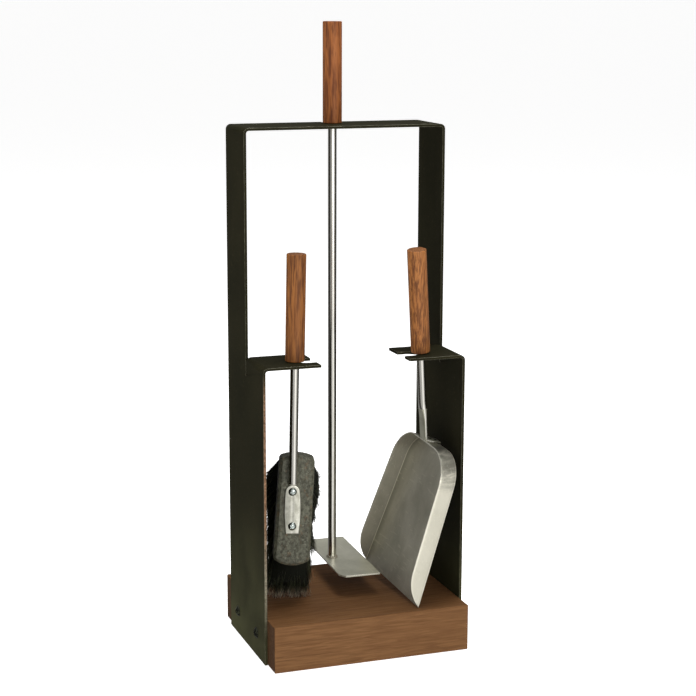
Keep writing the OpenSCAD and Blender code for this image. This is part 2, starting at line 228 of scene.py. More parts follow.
def black_steel():
    """Satin black-brown coat on sheet steel: fine texture, clouds, a painted floor reflection lightening the
    foot, and the left leg's cut edges rubbed bare and painted light as a highlight.
    """
    n = Nodes("black_steel")
    here = n.place()
    clouds = n.noise(here, 9, 5, 0.6)
    fine = n.noise(here, 900, 2)
    specks = n.noise(here, 330, 4, 0.7)
    height = n.add("ShaderNodeSeparateXYZ", {"Vector": here}).outputs["Z"]
    # Painted floor reflection: the coat turns a lighter, mottled greenish grey towards the foot.
    foot = n.ramp(n.math("MULTIPLY", height, 3.2), [(0.0, 1.0), (0.6, 0.0)], "EASE")
    painted_floor_reflection = n.math("MULTIPLY", foot, n.ramp(clouds, [(0.3, 0.25), (0.7, 0.9)]))
    coat = n.mix(n.ramp(clouds, [(0.35, 0.0), (0.65, 1.0)]), shade((31, 30, 19)), shade((38, 36, 24)))
    coat = n.mix(painted_floor_reflection, coat, shade((74, 74, 51)))
    bright_specks = n.math("MULTIPLY", n.ramp(specks, [(0.6, 0.0), (0.75, 1.0)]), 0.35)
    coat = n.mix(bright_specks, coat, shade((82, 76, 56)))
    # Painted highlight: the left leg's front cut edges are bare metal painted light, pinkish above and
    # greyish below, dark again at the foot and the top.
    facing = n.add("ShaderNodeTexCoord").outputs["Normal"]
    forward = n.math("ABSOLUTE", n.add("ShaderNodeSeparateXYZ", {"Vector": facing}).outputs["Y"])
    left = n.ramp(n.add("ShaderNodeSeparateXYZ", {"Vector": here}).outputs["X"], [(0.0, 0.0), (0.01, 1.0)])
    low = n.ramp(height, [(0.03, 0.0), (0.09, 0.8), (0.30, 1.0), (0.335, 0.0)])
    cut = n.math("MULTIPLY", n.math("MULTIPLY", n.ramp(forward, [(0.85, 0.0), (0.95, 1.0)]), low),
                 n.math("SUBTRACT", 1.0, left))
    pinkish = n.mix(n.ramp(specks, [(0.35, 0.0), (0.65, 1.0)]), shade((70, 50, 34)), shade((142, 110, 86)))
    greyish = n.mix(n.ramp(specks, [(0.35, 0.0), (0.65, 1.0)]), shade((90, 84, 70)), shade((140, 134, 116)))
    bare_edge_highlight = n.mix(n.ramp(height, [(0.10, 1.0), (0.17, 0.0)]), pinkish, greyish)
    n.set(Base_Color=n.mix(cut, coat, bare_edge_highlight), Specular_IOR_Level=0.01)
    n.set(Roughness=n.ramp(clouds, [(0.3, 0.52), (0.7, 0.64)]))
    n.set(Normal=n.bump(fine, 0.00003, 0.5, n.bump(clouds, 0.0004, 0.3)))
    return n.material


def edge_wear_and_highlight():
    """The coat thinned along the sheet's edges, and lighter all along them as a painted highlight."""
    n = Nodes("edge_wear_and_highlight")
    wear = n.noise(n.place(), 140, 4, 0.7)
    rubbed = n.ramp(wear, [(0.35, 0.0), (0.65, 1.0)])
    n.set(Base_Color=n.mix(rubbed, shade((58, 57, 46)), shade((124, 121, 103))))
    n.set(Roughness=0.4, Metallic=0.4)
    return n.material


def black_screws():
    n = Nodes("black_screws")
    wear = n.noise(n.place(), 420, 4, 0.65)
    n.set(Base_Color=n.mix(n.ramp(wear, [(0.5, 0.0), (0.7, 1.0)]), shade((20, 20, 14)), shade((84, 88, 66))))
    n.set(Roughness=n.ramp(wear, [(0.3, 0.3), (0.7, 0.5)]), Metallic=0.25, Specular_IOR_Level=0.15)
    n.set(Normal=n.bump(wear, 0.0001, 0.4))
    return n.material


def wood(name, along, light, mid, dark, seed, grain=1.0, rotation=(0, 0, 0), centre=(0, 0, 0), gloss=0.5,
         end_shade=0.25, shine=0.2, bold=1.0):
    """Oiled hardwood with its grain along one axis; grain scales the figure's bands, bold its dark fibres."""
    n = Nodes(name)
    slow, fast = 0.07, 1.0
    stretch = [slow if axis == along else fast for axis in "XYZ"]
    here = n.place(stretch, rotation, centre)
    here = n.add("ShaderNodeVectorMath", {0: here, 1: (seed, seed * 0.37, -seed)}, operation="ADD").outputs[0]
    warp = n.noise(here, 24, 3, 0.5)
    wide = n.noise(here, 55, 3, 0.5, 1.2)
    rings = n.math("ADD", wide, n.math("MULTIPLY", warp, 0.6))
    bands = n.math("FRACT", n.math("MULTIPLY", rings, 7.0 * grain))
    figure = n.ramp(bands, [(0.0, 0.15), (0.55, 0.75), (0.9, 1.0), (1.0, 0.15)])
    fibres = n.noise(here, 420, 3, 0.65)
    pores = n.ramp(n.noise(n.place([s * (0.35 if axis == along else 1) for axis, s in zip("XYZ", stretch)],
                                   rotation, centre), 900, 2, 0.5), [(0.60, 0.0), (0.68, 1.0)])
    body = n.mix(figure, mid, light)
    body = n.mix(n.math("MULTIPLY", n.ramp(fibres, [(0.4, 1.0), (0.56, 0.0)]), 0.75 * bold), body, dark)
    body = n.mix(n.math("MULTIPLY", pores, 0.7 * bold), body, tuple(c * 0.4 for c in dark))
    patch = n.noise(n.place((1, 1, 1), rotation, centre), 14, 2, 0.5)
    body = n.mix(n.math("MULTIPLY", n.ramp(patch, [(0.35, 0.0), (0.7, 1.0)]), 0.35), body, mid)
    facing = n.add("ShaderNodeTexCoord").outputs["Normal"]
    lengthwise = n.math("ABSOLUTE", n.add("ShaderNodeSeparateXYZ", {"Vector": facing}).outputs[along])
    ends = n.math("MULTIPLY", n.ramp(lengthwise, [(0.75, 0.0), (0.95, 1.0)]), end_shade)
    body = n.mix(ends, body, tuple(c * 0.3 for c in dark))
    n.set(Base_Color=body, Roughness=n.ramp(fibres, [(0.3, gloss + 0.12), (0.7, gloss - 0.04)]))
    n.set(Specular_IOR_Level=shine)
    relief = n.bump(fibres, 0.00012, 0.35)
    n.set(Normal=n.bump(pores, -0.0001, 0.4, relief))
    return n.material


def polished_tube(name="polished_tube"):
    """Bright drawn tube with faint lines along it and a few hazy spots."""
    n = Nodes(name)
    lines = n.noise(n.place((1, 1, 0.02)), 1500, 2, 0.6)
    haze = n.noise(n.place((1, 1, 0.25)), 90, 4, 0.6)
    dull = n.ramp(haze, [(0.35, 0.0), (0.75, 1.0)])
    n.set(Base_Color=n.mix(dull, shade((214, 211, 203)), shade((196, 193, 184))))
    n.set(Metallic=1.0, Roughness=n.ramp(haze, [(0.3, 0.16), (0.8, 0.28)]))
    n.set(Normal=n.bump(lines, 0.00002, 0.25))
    return n.material


def sheet_metal(name, light, dark, rough, stain=0.5, scale=26.0, shine=1.0, folded=False):
    """Mill-finish sheet: clouds, rolling marks, scratches and stains, and if folded, painted shade on the
    floor along the walls, walls painted a little darker, a painted highlight along the fold, wear marks in
    the rear corners and one side wall painted lighter as if lit.
    """
    n = Nodes(name)
    clouds = n.noise(n.place((1, 1, 0.6)), scale, 5, 0.6, 0.4)
    grain = n.noise(n.place((1, 0.06, 1)), 1400, 2, 0.6)
    scratch = n.ramp(n.noise(n.place((1, 0.03, 0.5)), 600, 1, 0.4), [(0.66, 0.0), (0.7, 1.0)])
    spots = n.ramp(n.noise(n.place(), 210, 4, 0.7), [(0.56, 0.0), (0.72, 1.0)])
    body = n.mix(n.ramp(clouds, [(0.3, 0.0), (0.7, 1.0)]), dark, light)
    body = n.mix(n.math("MULTIPLY", spots, 0.25 * stain), body, tuple(c * 0.6 for c in dark))
    bright = tuple(min(1, c * 1.25) for c in light)
    if folded:
        gap = n.add("ShaderNodeAttribute", attribute_name="fold_gap").outputs["Fac"]
        spread = n.math("ADD", n.math("MULTIPLY", gap, 50.0), 0.2)
        # Painted shadow on the floor along the walls.
        shadow = n.ramp(spread, [(0.21, 0.0), (0.25, 0.55), (0.45, 0.35), (0.8, 0.0)])
        body = n.mix(shadow, body, tuple(c * 0.45 for c in dark))
        # Painted shade: the walls a little darker than the floor, most just above the fold.
        wall = n.ramp(spread, [(0.0, 0.1), (0.08, 0.25), (0.12, 0.0)])
        body = n.mix(wall, body, tuple(c * 0.5 for c in dark))
        # Painted highlight: a bright line along the fold itself.
        crease = n.ramp(spread, [(0.09, 0.0), (0.12, 1.0), (0.2, 1.0), (0.215, 0.0)])
        body = n.mix(n.math("MULTIPLY", crease, 0.9), body, bright)
        worn = n.add("ShaderNodeAttribute", attribute_name="corner_wear").outputs["Fac"]
        marks = n.noise(n.place((0.5, 0.5, 2.2)), 90, 4, 0.6, 0.3)
        darker = n.math("MULTIPLY", worn, n.ramp(marks, [(0.40, 0.5), (0.54, 0.0)]))
        body = n.mix(darker, body, tuple(c * 0.45 for c in dark))
        body = n.mix(n.math("MULTIPLY", worn, n.ramp(marks, [(0.54, 0.0), (0.64, 0.7)])), body, bright)
        # Painted light: the side wall at negative X, past the rear corner, is made lighter as if lit.
        painted_light = n.add("ShaderNodeAttribute", attribute_name="painted_light_wall").outputs["Fac"]
        body = n.mix(n.math("MULTIPLY", painted_light, 0.35), body, tuple(min(1, c * 1.5) for c in light))
    n.set(Base_Color=n.mix(n.math("MULTIPLY", scratch, 0.3), body, bright))
    n.set(Metallic=shine, Roughness=n.ramp(clouds, [(0.3, rough + 0.07), (0.7, rough - 0.05)]))
    n.set(Normal=n.bump(grain, 0.00003, 0.3, n.bump(clouds, 0.0004, 0.15)))
    return n.material


def weld_metal():
    n = Nodes("weld_metal")
    heat = n.noise(n.place(), 320, 3, 0.6)
    n.set(Base_Color=n.mix(heat, shade((176, 170, 152)), shade((104, 94, 78))), Metallic=0.5)
    n.set(Roughness=n.ramp(heat, [(0.3, 0.35), (0.7, 0.6)]), Normal=n.bump(heat, 0.0004, 0.6))
    return n.material


def plated_steel():
    n = Nodes("plated_steel")
    haze = n.noise(n.place(), 500, 3, 0.6)
    n.set(Base_Color=n.mix(haze, shade((206, 212, 206)), shade((160, 172, 168))), Metallic=1.0)
    n.set(Roughness=n.ramp(haze, [(0.3, 0.16), (0.7, 0.32)]), Normal=n.bump(haze, 0.00005, 0.4))
    return n.material


def worn_black_wood():
    """Black stain on the brush block, dust-covered and mottled, with rusty specks."""
    n = Nodes("worn_black_wood")
    mottle = n.noise(n.place((1, 1, 0.8)), 300, 5, 0.75)
    grain = n.noise(n.place((1, 1, 0.2)), 300, 3, 0.6)
    clouds = n.noise(n.place(), 34, 4, 0.6)
    body = n.mix(n.ramp(mottle, [(0.4, 0.0), (0.6, 1.0)]), shade((55, 54, 43)), shade((99, 99, 84)))
    fibres = n.math("MULTIPLY", n.ramp(grain, [(0.42, 1.0), (0.55, 0.0)]), 0.35)
    body = n.mix(fibres, body, shade((52, 50, 40)))
    soot = n.math("MULTIPLY", n.ramp(clouds, [(0.35, 1.0), (0.6, 0.0)]), 0.3)
    body = n.mix(soot, body, shade((60, 59, 48)))
    rusty = n.ramp(n.noise(n.place((1, 1, 0.6)), 200, 4, 0.7), [(0.57, 0.0), (0.66, 1.0)])
    body = n.mix(n.math("MULTIPLY", rusty, 0.4), body, shade((106, 80, 54)))
    chips = n.ramp(n.noise(n.place(), 420, 3, 0.7), [(0.6, 0.0), (0.68, 1.0)])
    n.set(Base_Color=n.mix(n.math("MULTIPLY", chips, 0.4), body, shade((146, 144, 126))))
    n.set(Roughness=n.ramp(mottle, [(0.3, 0.68), (0.7, 0.52)]), Specular_IOR_Level=0.25)
    n.set(Normal=n.bump(mottle, 0.0003, 0.5, n.bump(clouds, 0.001, 0.3)))
    return n.material


def bristle_hair():
    """Black horsehair; hair_tip runs from root to tip, and hair_ash says how much pale ash is on the end."""
    n = Nodes("bristle_hair")
    tip = n.add("ShaderNodeAttribute", attribute_name="hair_tip").outputs["Fac"]
    tone = n.add("ShaderNodeAttribute", attribute_name="hair_tone").outputs["Fac"]
    at_end = n.ramp(tip, [(0.87, 0.0), (0.95, 1.0)])
    pale = n.math("MULTIPLY", at_end, n.ramp(tone, [(0.2, 0.0), (0.45, 1.0)]))
    ash = n.add("ShaderNodeAttribute", attribute_name="hair_ash").outputs["Fac"]
    pale = n.math("MULTIPLY", pale, ash)
    body = n.mix(n.ramp(tone, [(0.0, 0.0), (0.7, 0.3), (1.0, 1.0)]), shade((10, 11, 6)), shade((80, 84, 60)))
    n.set(Base_Color=n.mix(n.math("MULTIPLY", pale, 0.95), body, shade((250, 243, 222))))
    n.set(Roughness=0.4, Specular_IOR_Level=0.45)
    return n.material


def bristle_core():
    n = Nodes("bristle_core")
    streaks = n.noise(n.place((1, 0.2, 0.2)), 900, 2, 0.6)
    n.set(Base_Color=n.mix(streaks, shade((7, 8, 4)), shade((20, 22, 12))), Roughness=0.85)
    n.set(Specular_IOR_Level=0.15, Normal=n.bump(streaks, 0.0006, 0.8))
    return n.material


def pale_floor():
    """Pale paper with the same faint glow everywhere."""
    n = Nodes("pale_floor")
    paper = n.noise(n.place(), 300, 3)
    n.set(Base_Color=n.mix(paper, (0.90, 0.90, 0.895), (0.92, 0.92, 0.915)), Roughness=0.9)
    n.set(Emission_Color=(1, 1, 1, 1), Emission_Strength=FLOOR_GLOW, Specular_IOR_Level=0.1)
    return n.material


# ---- shapes ----


def piece(name, bm, place, body, replaced, materials, smooth=True):
    """Makes the mesh a piece in the row frame that rides on body and stands for the CAD nodes."""
    bmesh.ops.recalc_face_normals(bm, faces=bm.faces)
    mesh = bpy.data.meshes.new(name)
    bm.to_mesh(mesh)
    bm.free()
    mesh.transform(place)
    for material in materials:
        mesh.materials.append(material)
    mesh.polygons.foreach_set("use_smooth", [smooth] * len(mesh.polygons))
    made = bpy.data.objects.new(name, mesh)
    bpy.context.scene.collection.objects.link(made)
    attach(made, body)
    if replaced:
        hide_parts(*replaced)
    return made


def loft(bm, rings, closed_ends=True):
    """Joins rings of equally many points into a skin; returns the rings' vertices."""
    rows = [[bm.verts.new(p) for p in ring] for ring in rings]
    count = len(rows[0])
    for a, b in zip(rows, rows[1:]):
        for i in range(count):
            j = (i + 1) % count
            bm.faces.new((a[i], a[j], b[j], b[i]))
    if closed_ends:
        bm.faces.new(rows[0])
        bm.faces.new(rows[-1])
    return rows


def oval(width, depth, power, count=40):
    """Points of a superellipse width by depth: power 2 is an ellipse, a higher one is squarer."""
    points = []
    for i in range(count):
        a = 2 * math.pi * i / count
        c, s = math.cos(a), math.sin(a)
        x = math.copysign(abs(c) ** (2 / power), c) * depth / 2
        y = math.copysign(abs(s) ** (2 / power), s) * width / 2
        points.append((x, y))
    return points


def smoothstep(t):
    t = min(1.0, max(0.0, t))
    return t * t * (3 - 2 * t)


def shovel_shaft(material, pressed):
    """The tube, pressed flat and bent over the pan's rear wall, as one lofted skin; the flats are duller."""
    foot_l = WALL_H + RIM_GAP - STRAP_FOOT
    bend_r = 2.6 * MM
    stations = []
    for z in (54, 40, 0, -20, -40, -52):
        stations.append((0.0, z * MM, 0.0, 0.0))
    steps = 14
    for i in range(steps + 1):
        t = i / steps
        stations.append((0.0, -(SQUASH_TOP + (SQUASH_END - SQUASH_TOP) * t), 0.0, smoothstep(t)))
    bend_a = math.radians(90) - PAN_ANGLE
    cut = bend_r * math.tan(bend_a / 2)
    stations.append((0.0, -STRAP_BEND + cut + 3 * MM, 0.0, 1.0))
    for i in range(9):
        a = bend_a * i / 8
        x = bend_r * (1 - math.cos(a))
        z = -STRAP_BEND + cut - bend_r * math.sin(a)
        stations.append((x, z, a, 1.0))
    for along in (0.5, 1.0):
        reach = cut + (foot_l - cut) * along
        stations.append((reach * math.sin(bend_a), -STRAP_BEND - reach * math.cos(bend_a), bend_a, 1.0))
    rings = []
    for x, z, a, flat in stations:
        width = 2 * TUBE_R + (STRAP_W - 2 * TUBE_R) * flat
        depth = 2 * TUBE_R + (STRAP_T - 2 * TUBE_R) * flat
        ring = []
        for dx, dy in oval(width, depth, 2 + 2.5 * flat, 48):
            ring.append((x + dx * math.cos(a), dy, z + dx * math.sin(a)))
        rings.append(ring)
    bm = bmesh.new()
    rows = loft(bm, rings)
    for (x, z, a, flat), row in zip(stations, rows):
        if flat < 0.35:
            continue
        for i, vertex in enumerate(row):
            broad = abs(math.cos(2 * math.pi * (i + 0.5) / len(row))) > 0.12
            if broad:
                for face in vertex.link_faces:
                    if row[(i + 1) % len(row)] in face.verts:
                        face.material_index = 1
    return piece("shovel_tube", bm, shovel_place(), "shovel", ["shovel_shaft"],
                 [material, pressed])


def rim_height(y):
    """Height of the pan's side walls at y, which run down to the lip along an arc."""
    run = PAN_L - RIM_START
    arc_r = (run * run + WALL_H * WALL_H) / (2 * WALL_H)
    if y <= RIM_START:
        return WALL_H
    return max(WALL_H - arc_r + math.sqrt(arc_r**2 - (y - RIM_START) ** 2), FOLD_R + 0.1 * MM)


def pan_outline():
    """Half of the pan's outline, from the middle of the rear wall to the lip: points and outward normals."""
    taper = math.atan((LIP_HALF - REAR_HALF) / PAN_L)
    cx = REAR_HALF + CORNER_R * math.tan(taper) - CORNER_R / math.cos(taper)
    points = [((cx * i / REAR_STEPS, 0.0), (0.0, -1.0)) for i in range(REAR_STEPS + 1)]
    sweep = math.pi / 2 - taper
    for i in range(1, 19):
        a = -math.pi / 2 + sweep * i / 18
        out = (math.cos(a), math.sin(a))
        points.append(((cx + CORNER_R * out[0], CORNER_R + CORNER_R * out[1]), out))
    side = (math.cos(taper), -math.sin(taper))
    y0 = points[-1][0][1]
    steps = 34
    for i in range(1, steps + 1):
        y = y0 + (PAN_L - y0) * (1 - (1 - i / steps) ** 1.6)
        points.append(((REAR_HALF + y * math.tan(taper), y), side))
    return points


def shovel_pan(material, edge_material):
    """Folded sheet pan: floor, rounded fold and walls in one skin, thickened, with eased edges."""
    half = pan_outline()
    path = [((-p[0], p[1]), (-o[0], o[1])) for p, o in reversed(half[1:])] + half
    bm = bmesh.new()
    gap = bm.verts.layers.float.new("fold_gap")
    worn = bm.verts.layers.float.new("corner_wear")
    painted_light = bm.verts.layers.float.new("painted_light_wall")
    fold_steps, wall_steps, floor_columns = 6, 5, 2 * REAR_STEPS

    def wave(x, y, z):
        broad = noise.noise(Vector((x * 17, y * 13, z * 20 + 3))) * 0.35 * MM
        corner = smoothstep((CORNER_R * 1.15 - y) / (10 * MM)) * smoothstep((abs(x) - 20 * MM) / (14 * MM))
        return broad + corner * noise.noise(Vector((x * 120, y * 120, z * 70))) * 0.9 * MM

    rows = []
    for (x, y), (ox, oy) in path:
        row = []
        for i in range(fold_steps + 1):
            a = math.pi / 2 * i / fold_steps
            inset = FOLD_R * (1 - math.sin(a))
            z = FOLD_R * (1 - math.cos(a))
            row.append(bm.verts.new((x - ox * inset, y - oy * inset * (y < PAN_L - 1e-6), z)))
        top = rim_height(y)
        for i in range(1, wall_steps + 1):
            z = FOLD_R + (top - FOLD_R) * i / wall_steps
            sway = wave(x, y, z) * i / wall_steps * 0.7
            row.append(bm.verts.new((x + ox * sway, y + oy * sway, z)))
        for vertex in row:
            vertex[gap] = -vertex.co.z
            vertex[worn] = smoothstep((CORNER_R * 1.1 - y) / (12 * MM)) * smoothstep(-x / (12 * MM) - 1)
            # This side wall is marked here for painted light in the material.
            vertex[painted_light] = smoothstep((y - CORNER_R * 0.8) / (12 * MM)) * (x < 0) * (vertex.co.z > FOLD_R)
        rows.append(row)
    for a, b in zip(rows, rows[1:]):
        for i in range(len(a) - 1):
            bm.faces.new((a[i], b[i], b[i + 1], a[i + 1]))
    middle = len(path) // 2
    previous = [rows[middle + k][0] for k in range(-REAR_STEPS, REAR_STEPS + 1)]
    for k in range(REAR_STEPS + 1, middle + 1):
        left, right = rows[middle - k][0], rows[middle + k][0]
        strip = [left]
        for i in range(1, floor_columns):
            t = i / floor_columns
            at = left.co.lerp(right.co, t)
            inward = min(at.x - left.co.x, right.co.x - at.x, at.y)
            at.z += wave(at.x, at.y, 0) * math.sin(math.pi * t)
            strip.append(bm.verts.new(at))
            strip[-1][gap] = inward
        strip.append(right)
        for i in range(floor_columns):
            bm.faces.new((previous[i], strip[i], strip[i + 1], previous[i + 1]))
        previous = strip
    bmesh.ops.recalc_face_normals(bm, faces=bm.faces)
    lowest = min(bm.faces, key=lambda f: f.calc_center_median().z)
    if lowest.normal.z > 0:
        bmesh.ops.reverse_faces(bm, faces=bm.faces)
    made = piece("shovel_sheet_pan", bm, pan_place(), "shovel", ["shovel_pan"],
                 [material, edge_material])
    thick = made.modifiers.new("thickness", "SOLIDIFY")
    thick.thickness = PAN_T
    thick.offset = -1
    thick.use_even_offset = True
    thick.material_offset_rim = 1
    ease = made.modifiers.new("eased_edges", "BEVEL")
    ease.width = 0.22 * MM
    ease.segments = 2
    ease.limit_method = "ANGLE"
    ease.angle_limit = math.radians(50)
    return made


def plate_half(z):
    """Half of the plate's width at z, measured from its middle."""
    half = PLATE_W / 2 - z * z / (2 * PLATE_SIDE_R)
    dome_z = PLATE_L / 2 - PLATE_DOME_R
    foot_z = PLATE_CORNER_R - PLATE_L / 2
    if z > dome_z:
        half = min(half, math.sqrt(max(0.0, PLATE_DOME_R**2 - (z - dome_z) ** 2)))
    if z < foot_z:
        corner = math.sqrt(max(0.0, PLATE_CORNER_R**2 - (foot_z - z) ** 2))
        half = min(half, PLATE_FOOT_HALF - PLATE_CORNER_R + corner)
    return max(half, 0.02 * MM)


def spade_plate(material, painted_outline_shadow):
    """The brush's plate: barrel outline with a round top, a crowned and creased face, and sides painted
    near-black as the shadow around it.
    """
    columns, rows_n, edge_r, crown_h = 24, 72, 0.9 * MM, 0.7 * MM
    dome_z = PLATE_L / 2 - PLATE_DOME_R
    bm = bmesh.new()
    grid = []
    for j in range(rows_n + 1):
        t = -math.cos(math.pi * j / rows_n)
        z = t * PLATE_L / 2
        half = plate_half(z)
        row = []
        for i in range(columns + 1):
            s = math.sin(math.pi / 2 * (2 * i / columns - 1))
            x = s * half
            inside = min(half - abs(x), z + PLATE_L / 2)
            if z > dome_z:
                inside = min(inside, PLATE_DOME_R - math.hypot(x, z - dome_z))
            u = min(1.0, max(0.0, inside / edge_r))
            crown = crown_h * (1 - s * s) * (1 - t * t)
            crease = 0.22 * MM * math.exp(-((x / (0.8 * MM)) ** 2)) * (1 - t**4)
            dent = 0.1 * MM * noise.noise(Vector((x * 160, 3.0, z * 90)))
            depth = (PLATE_T - crown_h + crown - crease + dent) * math.sqrt(1 - (1 - u) ** 2)
            row.append(bm.verts.new((x, BLOCK_FACE_Y - depth, z)))
        grid.append(row)
    for a, b in zip(grid, grid[1:]):
        for i in range(columns):
            bm.faces.new((a[i], a[i + 1], b[i + 1], b[i]))
    rim = [r[0] for r in grid] + grid[-1][1:] + [r[-1] for r in reversed(grid[:-1])] + grid[0][-2:0:-1]
    back = [bm.verts.new((v.co.x, BLOCK_FACE_Y + 0.05 * MM, v.co.z)) for v in rim]
    for i in range(len(rim)):
        j = (i + 1) % len(rim)
        # The sides take the second material: near-black, a painted shadow around the plate.
        bm.faces.new((rim[i], rim[j], back[j], back[i])).material_index = 1
    bm.faces.new(back)
    at = brush_place() @ Matrix.Translation((0, 0, -PLATE_TOP - PLATE_L / 2))
    return piece("brush_spade_plate", bm, at, "brush", ["brush_plate"], [material, painted_outline_shadow])


def weld_bead(material):
    """Small rippled bead around the scraper's tube, on the blade."""
    low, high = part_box("scraper_weld")
    centre = (low + high) / 2
    outer = (high.x - low.x) / 2
    tube_r = TUBE_R
    rings = 60
    bm = bmesh.new()
    rows = []
    for i in range(rings):
        a = 2 * math.pi * i / rings
        ripple = 1 + 0.12 * math.sin(a * 17) + 0.08 * math.sin(a * 5 + 1)
        row = []
        for k in range(7):
            b = math.pi / 2 * k / 6
            r = tube_r + (outer - tube_r) * 0.7 * math.cos(b) * ripple
            z = low.z + (high.z - low.z) * 0.75 * math.sin(b) * ripple
            row.append(bm.verts.new((centre.x + r * math.cos(a), centre.y + r * math.sin(a), z)))
        inner = tube_r * 0.97
        row.append(bm.verts.new((centre.x + inner * math.cos(a), centre.y + inner * math.sin(a), low.z)))
        rows.append(row)
    for i in range(rings):
        a, b = rows[i], rows[(i + 1) % rings]
        for k in range(len(a)):
            m = (k + 1) % len(a)
            bm.faces.new((a[k], b[k], b[m], a[m]))
    return piece("scraper_weld_bead", bm, Matrix.Identity(4), "scraper", ["scraper_weld"],
                 [material])


def hang(t):
    """How far the bristles hang down, in radians, from the top root row (t = 0) to the lowest (t = 1)."""
    return math.radians(38 + 24 * t + 14 * t * t)


def tip_half(t):
    """Half of the fan's width at the bristles' tips, from the top root row to the lowest."""
    for (t0, w0), (t1, w1) in zip(TIP_HALVES, TIP_HALVES[1:]):
        if t <= t1:
            return w0 + (w1 - w0) * smoothstep((t - t0) / (t1 - t0))
    return TIP_HALVES[-1][1]


def bristle_core_piece(material):
    """Dark body inside the bristle field, a little smaller than it."""
    bm = bmesh.new()
    rings = []
    steps = 24
    mid = BLOCK_TOP + BLOCK_L / 2
    for k in range(steps + 1):
        t = k / steps
        root_z = mid - (ROOT_TOP + (ROOT_END - ROOT_TOP) * t)
        a = hang(t)
        ring = []
        for far in (0.0, 0.2, 0.4, 0.6, 0.76, 0.92 - 0.14 * t**4):
            half = (ROOT_HALF + (tip_half(t) - ROOT_HALF) * far) * 0.96
            half += noise.noise(Vector((t * 22, far * 4, 7.0))) * 0.9 * MM * far
            reach = BRISTLE_L * far
            y = BLOCK_T - 0.5 * MM + reach * math.cos(a)
            z = root_z - reach * math.sin(a)
            ring.append((half, y, z))
        rings.append(ring + [(-x, y, z) for x, y, z in reversed(ring)])
    loft(bm, rings)
    return piece("brush_bristle_core", bm, block_place(), "brush", [], [material])


def bristle_hairs(material):
    """Tufts of single hairs on the block's back, splayed at the sides and hanging more towards the toe."""
    draw = random.Random(7)
    columns, rows_n, per_tuft = 8, 24, 54
    verts, faces, tips, tones, ashes = [], [], [], [], []
    mid = BLOCK_TOP + BLOCK_L / 2
    rings, sides = 5, 3
    for row in range(rows_n):
        for column in range(columns):
            t = (row + 0.5) / rows_n
            across = (column + 0.5) / columns * 2 - 1
            tuft_sway = draw.gauss(0, 0.028)
            tuft_hang = draw.gauss(0.01, 0.03)
            tuft_len = draw.gauss(0, 0.02)
            for _ in range(per_tuft):
                root_x = across * ROOT_HALF + draw.uniform(-1, 1) * ROOT_HALF / columns
                root_t = min(1.0, max(0.0, t + draw.uniform(-0.5, 0.5) / rows_n))
                root = Vector((root_x, BLOCK_T - 0.6 * MM, mid - (ROOT_TOP + (ROOT_END - ROOT_TOP) * root_t)))
                stray = 2.2 if draw.random() < 0.06 else 1.0
                reach_half = tip_half(root_t) + LEG_SIDE_EXTRA * smoothstep(root_t * 2.5 - 0.6) * (root_x < 0)
                fan = (reach_half - ROOT_HALF) / BRISTLE_L * (root_x / ROOT_HALF)
                fan += tuft_sway + draw.gauss(0, 0.022) * stray
                a = hang(root_t) + tuft_hang + draw.gauss(0, 0.035) * stray
                length = BRISTLE_L * (1.02 + tuft_len + draw.uniform(-0.06, 0.045) + 0.05 * root_t)
                straight = Vector((fan, math.cos(a), -math.sin(a))).normalized()
                start = Vector((fan * 0.3, math.cos(a * 0.75), -math.sin(a * 0.75))).normalized()
                curl = Vector((draw.gauss(0, 0.5), 0, draw.gauss(0, 0.5))) * MM
                radius = draw.uniform(0.16, 0.24) * MM
                tone = draw.random()
                ash = ASH_LEAST + (1 - ASH_LEAST) * smoothstep(root_t * 5 - 3.9)
                side = straight.cross(Vector((1, 0.2, 0.1))).normalized()
                other = straight.cross(side)
                base = len(verts)
                for k in range(rings):
                    s = k / (rings - 1)
                    lead = start.lerp(straight, min(1.0, s * 1.6))
                    at = root + lead * (length * s) + curl * math.sin(math.pi * s)
                    width = radius * (1 - 0.3 * s * s)
                    for m in range(sides):
                        b = 2 * math.pi * m / sides
                        verts.append(at + (side * math.cos(b) + other * math.sin(b)) * width)
                        tips.append(s)
                        tones.append(tone)
                        ashes.append(ash)
                for k in range(rings - 1):
                    for m in range(sides):
                        p = base + k * sides + m
                        q = base + k * sides + (m + 1) % sides
                        faces.append((p, q, q + sides, p + sides))
                faces.append(tuple(base + m for m in reversed(range(sides))))
                last = base + (rings - 1) * sides
                faces.append(tuple(last + m for m in range(sides)))
    mesh = bpy.data.meshes.new("brush_bristles")
    mesh.from_pydata([tuple(v) for v in verts], [], faces)
    for label, values in (("hair_tip", tips), ("hair_tone", tones), ("hair_ash", ashes)):
        mesh.attributes.new(label, "FLOAT", "POINT").data.foreach_set("value", values)
    mesh.transform(block_place())
    mesh.materials.append(material)
    mesh.polygons.foreach_set("use_smooth", [True] * len(mesh.polygons))
    made = bpy.data.objects.new("brush_bristles", mesh)
    bpy.context.scene.collection.objects.link(made)
    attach(made, "brush")
    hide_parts("brush_bristles_top", "brush_bristles_middle", "brush_bristles_bottom")
    return made


# ---- CAD nodes that stay ----


def paint(node, *materials):
    """Gives a CAD node its materials."""
    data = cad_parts[node].data
    data.materials.clear()
    for material in materials:
        data.materials.append(material)


def ease_edges(node, width, segments=2, edge_slot=0, angle=30):
    """Rounds a CAD node's sharp edges with modifiers, which leave its own mesh as it is."""
    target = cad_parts[node]
    weld = target.modifiers.new("weld", "WELD")
    weld.merge_threshold = 0.002 * MM
    ease = target.modifiers.new("eased_edges", "BEVEL")
    ease.width = width
    ease.segments = segments
    ease.limit_method = "ANGLE"
    ease.angle_limit = math.radians(angle)
    ease.material = edge_slot
    ease.harden_normals = True


